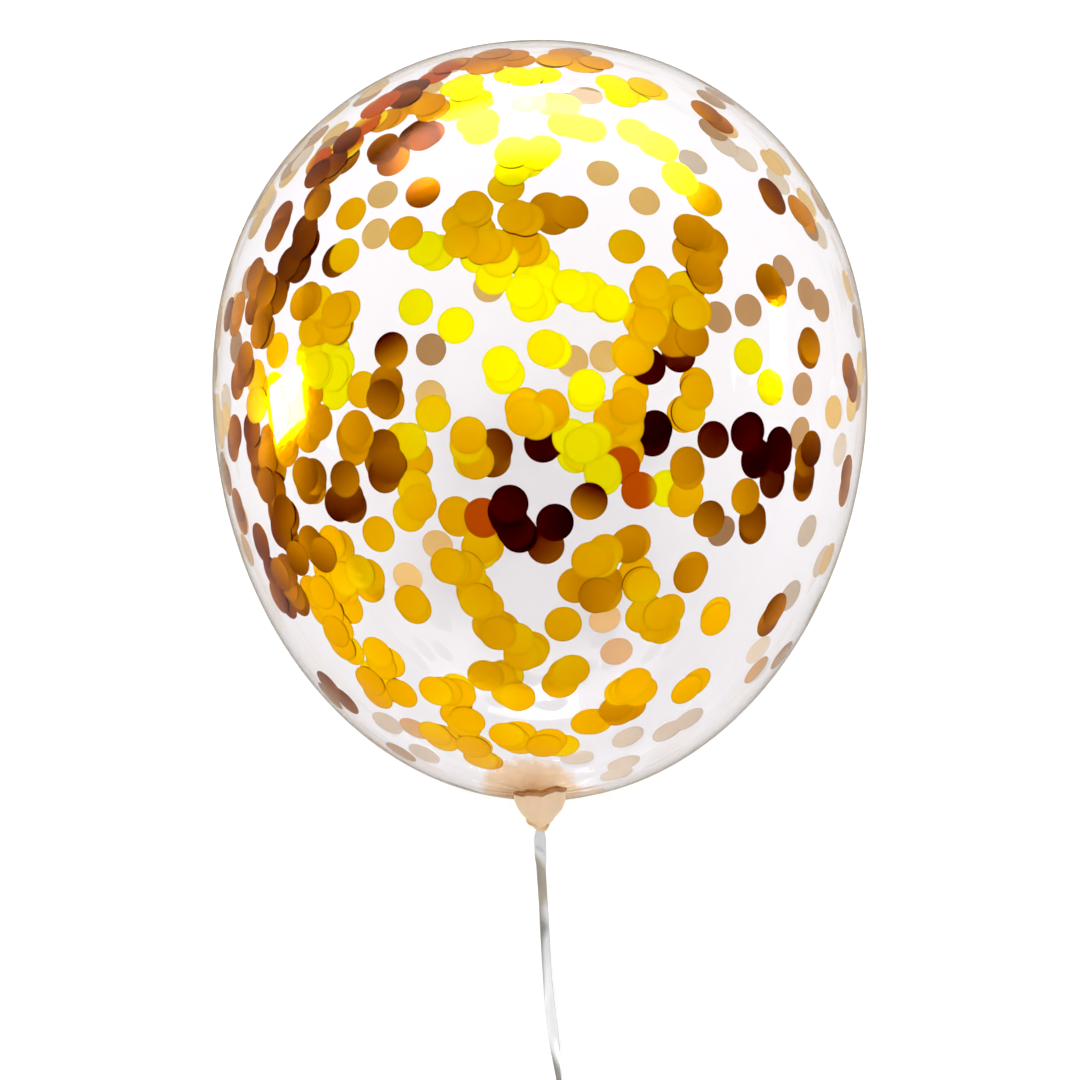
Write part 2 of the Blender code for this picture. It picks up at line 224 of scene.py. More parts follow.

# Strings of discs on the front, in runs of the same tone, in millimetres from the middle of the
# widest circle: where the string starts (right, up), where it ends and its number of discs. A
# single disc has only its place. Where tones differ, discs listed first lie in front. The tone
# of each run, given by place, is painted reflection of the room's dark and bright parts.
STRINGS = [
    ("dark", (-98, 88, -80, 106, 3)), ("russet", (-95, 92, -82, 105, 3), (-77, 109, -66, 120, 4)),
    ("dark", (-62, 123, -51, 128, 3)), ("russet", (-46, 134, -36, 138, 3)),
    ("bronze", (-37, 136, -20, 138, 4), (-27, 139, -6, 141, 4)),
    ("amber", (2, 140, 12, 140, 3), (14, 139, 26, 137, 3)), ("gold", (43, 128, 50, 124, 2)),
    ("brown", (70, 118, 79, 110, 2), (-93, 92, -84, 93, 3)), ("dark", (-71, 101, -62, 95, 4)),
    ("bronze", (-68, 112, -62, 114, 2), (-57, 121, -46, 118, 4)), ("soot", (-53, 109, -46, 104, 4)),
    ("yellow", (-38, 126, -28, 128, 3), (-36, 118, -25, 120, 4), (-31, 110, -22, 110, 3),
        (-12, 133, 4, 131, 3), (29, 127, 42, 122, 4), (3, 121, 12, 118, 2), (8, 110, 24, 110, 3),
        (-17, 97, 6, 100, 5), (-15, 91, -3, 93, 3)), ("amber", (-15, 84)),
    ("yellow", (41, 108), (47, 103, 54, 101, 2), (58, 89, 62, 86, 2)),
    ("umber", (-114, 62, -108, 73, 3)), ("brown", (-97, 80, -95, 75, 2)),
    ("soot", (-102, 64, -98, 60, 4), (-110, 51, -105, 47, 3)), ("amber", (-81, 73), (-84, 55)),
    ("dark", (-88, 52)), ("brown", (-122, 45, -117, 38, 4)), ("umber", (-113, 42, -113, 35, 2)),
    ("brown", (-122, 34, -120, 18, 5)), ("bronze", (-130, 33, -131, 26, 2)),
    ("dark", (-136, 33, -138, 4, 3)), ("brown", (-127, 12, -129, 2, 3)),
    ("bronze", (-103, 34, -99, 37, 2)), ("amber", (-96, 31, -84, 30, 4), (-98, 24, -84, 24, 4)),
    ("yellow", (-99, 13, -86, 13, 4), (-97, 5, -85, 6, 4)), ("amber", (-113, 14)), ("umber", (-51, 82)),
    ("amber", (-57, 64)), ("yellow", (-54, 33), (-37, 24)), ("burnt", (-64, 13)),
    ("amber", (-31, 76, -26, 73, 2), (-38, 68, -27, 66, 4), (-36, 60, -18, 58, 4)),
    ("yellow", (-48, 57, -43, 53, 3), (-26, 53, -13, 51, 4), (-20, 46)), ("amber", (-12, 61, 0, 59, 4)),
    ("yellow", (-7, 51, 2, 51, 2)), ("amber", (-12, 71, -5, 70, 2)), ("bronze", (1, 73, 12, 72, 3)),
    ("yellow", (-9, 38, -1, 32, 4), (-1, 44, 5, 36, 3), (12, 42, 27, 38, 4), (30, 35, 31, 32, 2)),
    ("amber", (38, 59)), ("yellow", (2, 15, 6, 13, 2), (-19, 9, -14, -1, 3), (20, -1, 20, -5, 2)),
    ("amber", (46, 42, 48, 35, 3), (45, 30, 49, 22, 4), (38, 14, 41, 8, 3)), ("black", (47, 7)),
    ("amber", (66, 79, 72, 75, 3)),
    ("bronze", (63, 62, 75, 62, 4), (64, 56, 75, 57, 3), (69, 51, 73, 46, 3)),
    ("amber", (61, 41, 66, 40, 2), (60, 33, 66, 31, 3)), ("bronze", (57, 21, 64, 17, 4)),
    ("dark", (60, 12)), ("brown", (98, 44, 101, 39, 2)), ("dark", (98, 83, 102, 78, 2)),
    ("bronze", (110, 76, 115, 69, 2)), ("brown", (116, 18, 116, 12, 2), (133, 8, 134, -4, 2)),
    ("yellow", (90, 11), (99, -2, 99, -3, 1)), ("brown", (-130, 2, -130, -2, 1)),
    ("amber", (-122, 3, -121, -14, 4)), ("yellow", (-114, -2, -108, -20, 4)),
    ("bronze", (-100, -3, -97, -25, 4), (-113, -27, -106, -29, 3)),
    ("brown", (-118, -26, -113, -38, 4), (-132, -19, -131, -29, 2)),
    ("dark", (-126, -19, -123, -39, 4)),
    ("brown", (-136, -34, -134, -45, 2), (-130, -51, -128, -60, 2)),
    ("umber", (-117, -42, -114, -51, 3), (-112, -54, -106, -61, 4)),
    ("dark", (-113, -62, -108, -68, 2)), ("brown", (-103, -40, -95, -46, 4), (-84, -42)),
    ("dark", (-87, -50, -78, -55, 4)), ("bronze", (-79, -17, -79, -29, 4)),
    ("umber", (-71, -25, -63, -41, 4)), ("brown", (-68, 1, -67, -11, 3)),
    ("amber", (-77, -2, -77, -4, 1)), ("yellow", (-91, -7, -86, 2, 3)),
    ("dark", (-121, -66, -119, -72, 2)),
    ("brown", (-113, -79, -109, -87, 3), (-107, -90, -103, -95, 2), (-105, -71, -103, -77, 2),
        (-99, -67, -93, -72, 3)), ("dark", (-117, -82, -108, -98, 3)),
    ("amber", (-89, -69, -85, -76, 3), (-97, -83, -80, -83, 4), (-77, -84, -72, -85, 3),
        (-98, -90, -80, -91, 4), (-93, -97, -84, -97, 3), (-90, -103, -80, -117, 5),
        (-70, -118, -64, -122, 3), (-74, -127, -70, -135, 3), (-66, -131, -58, -134, 2)),
    ("dark", (-96, -128, -83, -139, 3)), ("amber", (-70, -65)), ("gold", (-62, -25, -54, -26, 2)),
    ("amber", (-54, -32, -54, -33, 1), (-55, -46, -54, -56, 3), (-56, -94, -54, -98, 2)),
    ("gold", (-46, -14)), ("amber", (-29, -23, -29, -37, 4)), ("dark", (-22, -25, -22, -37, 3)),
    ("black", (-15, -54, -10, -60, 3), (-12, -63, -8, -66, 2)), ("orange", (-25, -57, -24, -60, 2)),
    ("amber", (-37, -56, -35, -60, 2), (-29, -69, -21, -74, 4)), ("black", (6, -60)),
    ("dark", (3, -70)), ("burnt", (21, -51)), ("russet", (43, -47)),
    ("amber", (-38, -79, -32, -84, 4), (-30, -89, -25, -96, 4), (-22, -102, -13, -108, 4),
        (-11, -112, -3, -118, 4), (-9, -9, -3, -16, 4), (2, -9, 8, -12, 3)),
    ("yellow", (13, -25, 22, -27, 3)), ("black", (2, -20, 4, -27, 3)),
    ("yellow", (14, -31, 19, -31, 2), (27, -38, 28, -42, 2)), ("orange", (36, -36)),
    ("amber", (36, -5, 40, -11, 3), (33, -16, 39, -21, 4), (34, -27, 38, -31, 2)),
    ("black", (49, -18, 49, -26, 2)), ("amber", (22, -75, 31, -75, 4)),
    ("bronze", (37, -71, 41, -68, 2), (12, -85, 28, -87, 5), (22, -92, 30, -91, 2)),
    ("amber", (39, -80, 44, -91, 4), (43, -98, 56, -100, 4), (48, -105, 55, -105, 2),
        (9, -104, 10, -105, 1), (13, -124, 10, -130, 3), (67, 0, 68, -6, 2), (64, -12, 62, -15, 2)),
    ("soot", (74, -25)),
    ("black", (87, -23, 91, -20, 2), (91, -29, 97, -34, 3), (103, -25, 104, -36, 3), (101, -42)),
    ("dark", (118, -27, 113, -44, 4)), ("bronze", (64, -34, 63, -40, 2)),
    ("amber", (64, -47, 62, -52, 2)), ("yellow", (54, -46)), ("brown", (73, -58)),
    ("bronze", (88, -49)), ("dark", (92, -59, 92, -62, 2)), ("bronze", (63, -84, 66, -79, 2)),
    ("brown", (132, -34, 131, -50, 2)), ("amber", (74, -103, 77, -99, 2)),
    ("brown", (102, -96, 98, -104, 2)),
    ("amber", (62, -133, 68, -128, 2), (-45, -132, -33, -132, 4), (-38, -137, -36, -138, 1),
        (-37, -142, -31, -146, 3), (-47, -152, -41, -155, 3), (-32, -153, -27, -157, 3),
        (-26, -162, -23, -163, 2), (-22, -125, -15, -129, 3), (-14, -133, -9, -136, 2),
        (-16, -153, -5, -155, 4), (2, -154, 9, -155, 3), (43, -127, 33, -137, 4), (43, -133)),
    ("bronze", (30, -142, 41, -142, 3)), ("amber", (20, -146, 26, -147, 2)),
]

# Discs that show through from the far side, by shade, as (right, up) in the same millimetres
FAR_PLACES = {
    "gold": [
        (-68, 81), (-71, 64), (27, 90), (-22, 41), (45, 78), (33, -116), (28, -102), (-57, -84),
        (28, 11), (-47, -6), (127, -13), (14, 9), (-44, -70), (-54, -149),
    ],
    "pale": [
        (88, 96), (80, 107), (66, 95), (115, -64), (108, -92), (94, -115), (38, -153), (55, -150),
        (64, -145), (36, -164), (16, -162), (103, 90), (-119, 76), (-50, -160), (120, 64), (-135, -8),
        (58, 127), (-66, -147), (121, -77),
    ],
    "dull": [
        (77, 28), (90, 31), (105, 48), (115, 38), (-47, 14), (112, -22), (78, -64), (113, -3),
        (121, 33), (75, 112),
    ],
}

# Tones as places on the foil's ramp, from near black to bright yellow and then orange red, and how
# much each leans across a disc. The dark and bright tones and the lean are painted reflection, of
# the dark and bright parts of the room that the foil mirrors.
TONES = {
    "black": (0.05, 0.02), "soot": (0.11, 0.04), "dark": (0.18, 0.08), "umber": (0.25, 0.08),
    "burnt": (0.28, 0.24), "brown": (0.32, 0.11), "bronze": (0.49, 0.06), "amber": (0.65, 0.02),
    "gold": (0.73, 0.02), "yellow": (0.82, 0.01), "orange": (0.95, 0.01), "russet": (0.98, 0.05),
}
TONE_NOISE = 0.022
NOISE_LIMIT = 2
OTHER_TONE = 0.12

# How far a disc may lie from its place along its string, in millimetres
STRING_SPREAD = 3.2
PAIR_SPREAD = 0.8

# Tones of the fronts of the far side's discs, which other views see
FAR_TONES = (0.35, 0.85)
FAR_LEAN = 0.04

# Places of the foil's back on its own ramp, as the darkest and the palest of each shade
BACK_TONES = {"dull": (0.05, 0.22), "gold": (0.16, 0.50), "pale": (0.62, 0.95)}
BACK_MIX = ("gold", "gold", "dull", "pale")
BACK_NOISE = 0.05

# How much darker the far side's discs get for each metre down, a painted shade that evens out the
# room's stronger light there, and how dark the painted shade at the edge of each disc is
LOW_PAINTED_SHADE = 3.2
EDGE_SHADE_COLOUR = (0.05, 0.015, 0.0, 1.0)
FOIL_EDGE_SHADE = 0.16
BACK_EDGE_SHADE = 0.10

# Ramps of the materials, as (place on the ramp, colour). The haze gives the roughness.
FILM_TINTS = [
    (0.10, (0.70, 0.41, 0.20)), (0.45, (0.82, 0.55, 0.32)), (0.80, (0.88, 0.67, 0.47)),
    (0.96, (0.93, 0.92, 0.935)),
]
FILM_HAZE = [(0.15, (0.30, 0.30, 0.30)), (0.70, (0.08, 0.08, 0.08)), (1.0, (0.0, 0.0, 0.0))]
LATEX_COLOURS = [
    (0.0, (0.95, 0.57, 0.40)), (0.30, (0.80, 0.58, 0.37)), (0.60, (0.60, 0.34, 0.15)),
    (1.0, (0.22, 0.09, 0.03)),
]
FOIL_COLOURS = [
    (0.04, (0.030, 0.002, 0.005)), (0.18, (0.20, 0.048, 0.003)), (0.32, (0.42, 0.148, 0.003)),
    (0.49, (0.70, 0.290, 0.003)), (0.65, (0.93, 0.480, 0.003)), (0.82, (1.0, 0.900, 0.006)),
    (0.90, (1.0, 0.900, 0.006)), (0.96, (0.58, 0.100, 0.003)),
]
BACK_COLOURS = [
    (0.05, (0.30, 0.15, 0.05)), (0.20, (0.55, 0.31, 0.12)), (0.50, (1.0, 0.70, 0.22)),
    (0.60, (0.44, 0.36, 0.27)), (0.95, (0.96, 0.85, 0.67)),
]
RIBBON_COLOURS = [(0.35, (0.60, 0.60, 0.61)), (0.65, (0.80, 0.80, 0.80))]

# Light that comes from each angle past straight up, positive towards the crown, in degrees
ROOM_BANDS = [
    (-180, 0.35), (-168, 0.40), (-150, 0.90), (-42, 0.90), (-34, 0.88), (-25, 0.90), (-15, 1.00),
    (-6, 1.25), (18, 1.25), (32, 0.90), (46, 0.80), (54, 1.40), (62, 8.00), (80, 8.00), (88, 1.00),
    (102, 0.50), (140, 0.28), (180, 0.28),
]
SIDE_ABOVE = 1.00
SIDE_BELOW = 0.16
SIDE_FADE = (0.40, 0.72)
SIDE_RISE = (-0.30, 0.10)
ROOM_SCALE = 8.0
BROWN = (1.0, 0.84, 0.55)
BROWN_UNDER = 0.6
BLACK_LEVEL = 0.025
FLOOR_SIZE = 60.0
FLOOR_COLOUR = (0.40, 0.40, 0.40, 1.0)
FLOOR_GLOW = 0.64

# Softboxes, each as name, place, size and radiance
SOFTBOXES = (
    ("left softbox", (-0.70, 0.052, 0.145), (0.11, 0.20), 60.0),
    ("right softbox", (1.7, 0.405, 0.26), (0.33, 0.23), 24.0),
    ("crown softbox", (0.05, 1.77, 0.42), (0.72, 0.50), 9.0),
    ("crown lamp", (-0.13, 1.75, 0.42), (0.34, 0.44), 14.0),
)


def at(x, depth, height):
    """Place in the frame of a point given upright."""
    return Vector((x, WIDEST_Y + height, AXIS_HEIGHT - depth))


def ease(value, start, end):
    """Smooth step from 0 at start to 1 at end."""
    share = min(max((value - start) / (end - start), 0.0), 1.0)
    return share * share * (3 - 2 * share)


def around(count):
    """Each index of a ring of points, with the one after it."""
    return [(index, (index + 1) % count) for index in range(count)]


def add_piece(name, builder, materials):
    """Object made from the bmesh, riding on the one body."""
    mesh = bpy.data.meshes.new(name)
    bmesh.ops.recalc_face_normals(builder, faces=builder.faces)
    builder.to_mesh(mesh)
    builder.free()
    mesh.shade_smooth()
    mesh.set_sharp_from_angle(angle=SHARP_ANGLE)
    for material in materials:
        mesh.materials.append(material)
    piece = bpy.data.objects.new(name, mesh)
    bpy.context.scene.collection.objects.link(piece)
    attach(piece, "root")
    return piece


def loft(builder, rows, loop=False, thickness_and_shade=None):
    """Closed skin over rows of points, each row a ring. A loop joins the last row to the first."""
    layer = builder.verts.layers.float.new("thickness_and_shade") if thickness_and_shade else None
    made = [[builder.verts.new(point) for point in row] for row in rows]
    for row, value in zip(made, thickness_and_shade or []):
        for vert in row:
            vert[layer] = value
    pairs = list(zip(made, made[1:]))
    if loop:
        pairs.append((made[-1], made[0]))
    for lower, upper in pairs:
        for index, after in around(len(lower)):
            builder.faces.new((lower[index], lower[after], upper[after], upper[index]))
    if not loop:
        builder.faces.new(list(reversed(made[0])))
        builder.faces.new(made[-1])


def make_camera():
    centre = at(0.0, 0.0, 0.0)
    up = Vector((0.0, TILT_COS, TILT_SIN))
    back = Vector((0.0, -TILT_SIN, TILT_COS))
    data = bpy.data.cameras.new("camera")
    data.sensor_width = SENSOR_WIDTH
    data.lens = SENSOR_WIDTH * CAMERA_DISTANCE / FRAME_WIDTH
    camera = bpy.data.objects.new("camera", data)
    camera.location = centre - up * FRAME_CENTRE_DROP + back * CAMERA_DISTANCE
    camera.rotation_euler = (-back).to_track_quat("-Z", "Y").to_euler()
    bpy.context.scene.collection.objects.link(camera)
    bpy.context.scene.camera = camera


def smooth_line(points, step):
    """Points at about the given step on a smooth curve through the given points."""
    places = [Vector(point) for point in points]
    ends = [2 * places[0] - places[1]] + places + [2 * places[-1] - places[-2]]
    line = [places[0]]
    for before, start, end, after in zip(ends, ends[1:], ends[2:], ends[3:]):
        count = max(2, round((end - start).length / step))
        for index in range(1, count + 1):
            t = index / count
            pull = (end - before) * t + (2 * before - 5 * start + 4 * end - after) * t ** 2
            line.append(start + 0.5 * (pull + (3 * start - before - 3 * end + after) * t ** 3))
    return line


def length_of(line):
    return sum((end - start).length for start, end in zip(line, line[1:]))


def ribbon_line():
    """Centreline of the ribbon: its open stretch alone, and the whole with the coil's spiral."""
    open_stretch = smooth_line(ROUTE, RIBBON_STEP)
    centre = Vector((*COIL_CENTRE, ROUTE[-1][2]))
    start = centre + Vector((COIL_OUTER, 0.0, 0.0))
    lead = (start - open_stretch[-1]).length
    left = RIBBON_LENGTH - length_of(open_stretch) - lead
    turns = left / (math.pi * (COIL_OUTER + COIL_INNER))
    steps = round(left / RIBBON_STEP)
    coil = []
    for index in range(steps + 1):
        share = index / steps
        radius = COIL_OUTER + (COIL_INNER - COIL_OUTER) * share
        angle = -math.tau * turns * share
        coil.append(centre + Vector((math.cos(angle), math.sin(angle), 0.0)) * radius)
    lead_in = [open_stretch[-1].lerp(coil[0], index / LEAD_STEPS) for index in range(1, LEAD_STEPS)]
    return open_stretch, open_stretch + lead_in + coil


def strip_row(middle, side, face, width, bow):
    """Ring of points round a flat strip, bowed across its width and finely ribbed."""
    upper = []
    lower = []
    for column in range(RIBBON_COLUMNS + 1):
        share = column / RIBBON_COLUMNS - 0.5
        arch = bow * (1 - (2 * share) ** 2)
        rib = RIBBON_RIB * (1 if column % 2 else -1)
        upper.append(middle + side * (share * width) + face * (arch + RIBBON_THICKNESS / 2 + rib))
        lower.append(middle + side * (share * width) + face * (arch - RIBBON_THICKNESS / 2 + rib))
    return upper + lower[::-1]


def make_ribbon(material):
    """One flat ribbon: it hangs from the tie, lies flat on the floor and stands on edge in its coil."""
    open_stretch, line = ribbon_line()
    open_length = length_of(open_stretch)
    walked = 0.0
    across = Vector((1.0, 0.0, 0.0))
    rows = []
    for index, place in enumerate(line):
        before = line[max(index - 1, 0)]
        after = line[min(index + 1, len(line) - 1)]
        walked += (place - before).length
        along = (after - before).normalized()
        across = (across - along * across.dot(along)).normalized()
        on_edge = ease(walked, open_length - EDGE_BEFORE, open_length + EDGE_AFTER)
        hanging = ease(walked, *HANG_START) * (1 - ease(walked, *HANG_END))
        on_floor = ease(walked, *LYING_START)
        wave = LYING_WAVE * math.sin(math.tau * walked / LYING_WAVE_LENGTH)
        loose = (LYING_TWIST + wave) * on_floor * (1 - on_edge)
        twist = math.radians(90) * on_edge + HANG_TWIST * hanging + loose
        opened = PINCHED_WIDTH + (1 - PINCHED_WIDTH) * ease(walked, 0.0, PINCH_END)
        width = RIBBON_WIDTH * opened
        side = Matrix.Rotation(twist, 3, along) @ across
        face = along.cross(side)
        lift = FLOOR_GAP + RIBBON_THICKNESS + RIBBON_WIDTH / 2 * abs(math.sin(twist))
        drop = on_floor * max(place.z - lift, 0.0)
        middle = place - Vector((0.0, 0.0, drop))
        bow = RIBBON_BOW * (1 - LYING_FLATNESS * on_floor)
        rows.append(strip_row(middle, side, face, width, bow))
    builder = bmesh.new()
    loft(builder, rows)
    ribbon = add_piece("curling_ribbon", builder, [material])
    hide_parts("ribbon", "ribbon_coil")


def knot_point(half_width, half_depth, half_length, share):
    """Point of a tight overhand knot round its middle, as x, depth and height."""
    turn = math.tau * share
    x = half_width * (math.sin(turn) + 2 * math.sin(2 * turn)) / KNOT_CURVE_WIDTH
    height = half_length * (math.cos(turn) - 2 * math.cos(2 * turn)) / KNOT_CURVE_LENGTH
    return x, -half_depth * math.sin(3 * turn), height


def knot_rows(middle, halves, strand, folds, steps=120, sides=20):
    """Rings of a strand that is tied in an overhand knot about the middle, an upright point."""
    rows = []
    for step in range(steps):
        here = Vector(knot_point(*halves, step / steps))
        ahead = Vector(knot_point(*halves, (step + 1) / steps))
        along = (ahead - here).normalized()
        out = (here - along * here.dot(along)).normalized()
        side = along.cross(out)
        row = []
        for index in range(sides):
            angle = math.tau * index / sides
            fold = 1 + folds * math.cos(KNOT_FOLD_COUNT * angle + 4 * math.pi * step / steps)
            point = middle + here + (out * math.cos(angle) + side * math.sin(angle)) * strand * fold
            row.append(at(*point))
        rows.append(row)
    return rows


def tie_row(lift, lean, radius, angle):
    """Ring of points round the gathered ribbon at an angle of one of its turns round the stem."""
    upright = Vector((0.0, 0.0, 1.0))
    out = Vector((math.sin(angle), -math.cos(angle), 0.0))
    wobble = TIE_WOBBLE * math.sin(TIE_WAVES * angle + TIE_WAVE_SHIFT * radius)
    rise = lift - TIE_DROP + radius * lean * math.sin(angle)
    middle = out * (radius + wobble) + upright * rise
    tilt = lean * TIE_TILT
    axis = upright * math.cos(tilt) + out * math.sin(tilt)
    face = out * math.cos(tilt) - upright * math.sin(tilt)
    row = []
    for share, layer in TIE_SECTION:
        point = middle + axis * (share * TIE_HALF_WIDTH) + face * (layer * TIE_HALF_THICKNESS)
        row.append(at(*point))
    return row


def make_tie(material):
    """Ribbon wound twice round the stem, with its knot at the back."""
    builder = bmesh.new()
    for turn in TIE_TURNS:
        rows = [tie_row(*turn, math.tau * step / TIE_STEPS) for step in range(TIE_STEPS)]
        loft(builder, rows, loop=True)
    middle = Vector((0.0, TIE_KNOT_DEPTH, -TIE_DROP - TIE_KNOT_DROP))
    rows = knot_rows(middle, TIE_KNOT_HALVES, TIE_KNOT_STRAND, TIE_KNOT_FOLDS, steps=72, sides=12)
    loft(builder, rows, loop=True)
    tie = add_piece("ribbon_knot", builder, [material])
    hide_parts("ribbon_tie")


def radius_at(height):
    """Radius of the body at a height, without its neck."""
    if height >= 0:
        share = min(height / CROWN_LENGTH, 1.0)
        return BODY_RADIUS * max(1 - share ** CROWN_FULLNESS, 0.0) ** (1 / CROWN_FULLNESS)
    share = min(-height / LOWER_LENGTH, 1.0)
    return BODY_RADIUS * math.sqrt(max(1 - share ** 2, 0.0))


def wall(height, turn):
    """Point of the body, its outward normal and the way up along it. turn 0 is the front."""
    nudge = 0.0002
    slope = (radius_at(height + nudge) - radius_at(height - nudge)) / (2 * nudge)
    outward = Vector((math.sin(turn), 0.0, math.cos(turn)))
    crown = Vector((0.0, 1.0, 0.0))
    up = (crown + outward * slope).normalized()
    normal = (outward - crown * slope).normalized()
    return at(0.0, 0.0, height) + outward * radius_at(height), normal, up


def seen_place(right, up, far):
    """Height and turn of the body where the camera sees it at right and up, on its near or far side."""
    sign = -1 if far else 1
    nearer = 0.0
    for _ in range(SEARCH_STEPS):
        share = 1 - nearer / CAMERA_DISTANCE
        across = right * share
        along = (up + FRAME_CENTRE_DROP) * share - FRAME_CENTRE_DROP
        height = along * TILT_COS - nearer * TILT_SIN
        height = min(max(height, -SEARCH_LIMIT * LOWER_LENGTH), SEARCH_LIMIT * CROWN_LENGTH)
        forward = sign * math.sqrt(max(radius_at(height) ** 2 - across ** 2, 0.0))
        reached = (forward - along * TILT_SIN) / TILT_COS
        nearer = (1 - SEARCH_PULL) * nearer + SEARCH_PULL * reached
    turn = math.asin(max(-1.0, min(1.0, across / radius_at(height))))
    return height, (math.pi - turn if far else turn)


def skin_outline():
    """Radius and height of the skin from the crown down to the knot."""
    points = []
    power = 2 / CROWN_FULLNESS
    for step in range(CROWN_STEPS):
        angle = math.pi / 2 * (1 - step / CROWN_STEPS)
        radius = BODY_RADIUS * math.cos(angle) ** power if step else 0.0
        points.append(Vector((radius, CROWN_LENGTH * math.sin(angle) ** power)))
    shoulder_angle = math.acos(SHOULDER_RADIUS / BODY_RADIUS)
    for step in range(LOWER_STEPS):
        angle = shoulder_angle * step / LOWER_STEPS
        points.append(Vector((BODY_RADIUS * math.cos(angle), -LOWER_LENGTH * math.sin(angle))))
    shoulder_drop = LOWER_LENGTH * math.sin(shoulder_angle)
    shoulder = Vector((SHOULDER_RADIUS, -shoulder_drop))
    slope = (LOWER_LENGTH / BODY_RADIUS) ** 2 * SHOULDER_RADIUS / shoulder_drop
    along_skin = Vector((-1.0, -slope)).normalized() * (SHOULDER_RADIUS - STEM_RADIUS)
    stem_top = Vector((STEM_RADIUS, -STEM_DROP))
    first_handle = shoulder + SHOULDER_HANDLE * along_skin
    last_handle = stem_top + Vector((0.0, STEM_HANDLE * (STEM_DROP - shoulder_drop)))
    for step in range(NECK_STEPS + 1):
        t = step / NECK_STEPS
        points.append((1 - t) ** 3 * shoulder + 3 * t * (1 - t) ** 2 * first_handle
                      + 3 * t ** 2 * (1 - t) * last_handle + t ** 3 * stem_top)
    for step in range(1, STEM_STEPS + 1):
        points.append(Vector((STEM_RADIUS, -STEM_DROP - (KNOT_DROP - STEM_DROP) * step / STEM_STEPS)))
    return points


def skin_ring(radius, height, lift, sides=144):
    """Ring of the skin, pleated where it narrows to the neck. lift is its least height off the floor."""
    pleat = PLEAT_DEPTH * ease(radius, PLEAT_RADIUS, STEM_RADIUS) if radius < PLEAT_RADIUS else 0.0
    ring = []
    for side in range(sides):
        turn = math.tau * side / sides
        fold = sum(share * math.cos(folds * turn + shift) for share, folds, shift in PLEATS)
        reach = radius * (1 + pleat * fold)
        place = at(reach * math.sin(turn), -reach * math.cos(turn), height)
        place.z = max(place.z, lift)
        ring.append(place)
    return ring


def make_skin(material):
    """Thin film with an outer and an inner side, joined where its stem ends inside the knot."""
    points = skin_outline()
    outer = []
    inner = []
    for index in range(1, len(points)):
        before = points[index - 1]
        after = points[min(index + 1, len(points) - 1)]
        along = (after - before).normalized()
        radius, height = points[index]
        film = FILM + (NECK_FILM - FILM) * ease(-radius, -PLEAT_RADIUS, -STEM_RADIUS) * (height < 0)
        outer.append(skin_ring(radius, height, FLOOR_GAP))
        inner.append(skin_ring(radius + along.y * film, height - along.x * film, FLOOR_GAP + film))
    builder = bmesh.new()
    rings = [[builder.verts.new(place) for place in ring] for ring in outer + inner[::-1]]
    for upper, lower in zip(rings, rings[1:]):
        for index, after in around(len(upper)):
            builder.faces.new((upper[index], lower[index], lower[after], upper[after]))
    for ring, height in ((rings[0], CROWN_LENGTH), (rings[-1], CROWN_LENGTH - FILM)):
        pole = builder.verts.new(at(0.0, 0.0, height))
        for index, after in around(len(ring)):
            builder.faces.new((pole, ring[index], ring[after]))
    skin = add_piece("balloon_skin", builder, [material])
    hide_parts("balloon")


def tail_row(share, inset, along_by, sides=56):
    """Ring of the flattened tail at a share of its length, inset from its outside and moved along."""
    root = Vector((0.0, -TAIL_ROOT_HALF_THICKNESS, -TIP_DROP + TAIL_ROOT_HALF_THICKNESS + FLOOR_GAP))
    run = Vector((0.0, -TAIL_REACH, TAIL_RISE))
    along = run.normalized()
    across = Vector((1.0, 0.0, 0.0))
    face = across.cross(along)
    spread = 1 - (1 - share) ** TAIL_SPREAD
    half_width = TAIL_ROOT_HALF_WIDTH + (TAIL_HALF_WIDTH - TAIL_ROOT_HALF_WIDTH) * spread
    thinned = TAIL_ROOT_HALF_THICKNESS - TAIL_MOUTH_HALF_THICKNESS
    half_thickness = TAIL_ROOT_HALF_THICKNESS - thinned * share
    row = []
    for index in range(sides):
        angle = math.tau * index / sides
        x = (half_width - inset) * math.cos(angle)
        reach = x / TAIL_HALF_WIDTH
        thick = (half_thickness - inset) * math.sin(angle)
        ripple = sum(size * share * math.sin(waves * reach + shift)
                     for size, waves, shift in TAIL_RIPPLES)
        step = BEAD_STEP * ease(share, *BEAD_STEP_LONG) * (ease(reach, *BEAD_STEP_WIDE) - BEAD_LEVEL)
        point = root + run * share + along * (along_by + step) + across * x + face * (thick + ripple)
        row.append(at(*point))
    return row


def make_tail(material):
    """Hollow flattened tail that is folded up over the knot, with a rolled bead round its mouth."""
    rows = []
    thickness_and_shade = []
    for step in range(TAIL_STEPS):
        rows.append(tail_row(step / TAIL_STEPS, 0.0, 0.0))
        thinned = ease(step, 0, TAIL_THINNED * TAIL_STEPS)
        thickness_and_shade.append(LATEX_ROOT - (LATEX_ROOT - LATEX_TAIL) * thinned)
    middle = TAIL_WALL / 2
    # The bead is thick rolled latex, and its dark place also paints the crease's shade
    for step in range(BEAD_STEPS + 1):
        angle = math.radians(BEAD_FROM + BEAD_ROUND * step / BEAD_STEPS)
        inset = middle - BEAD_RADIUS * math.cos(angle)
        rows.append(tail_row(1.0, inset, BEAD_RADIUS * math.sin(angle)))
        thickness_and_shade.append(LATEX_BEAD)
    length = math.hypot(TAIL_REACH, TAIL_RISE)
    # The inside of the mouth is painted shade, at the darkest end of the latex ramp
    for step in range(MOUTH_STEPS):
        share = MOUTH_START - (MOUTH_DEPTH / length) * step / (MOUTH_STEPS - 1)
        rows.append(tail_row(share, TAIL_WALL, 0.0))
        thickness_and_shade.append(LATEX_MOUTH_SHADE)
    builder = bmesh.new()
    loft(builder, rows, thickness_and_shade=thickness_and_shade)
    tail = add_piece("balloon_tail", builder, [material])
    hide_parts("balloon")


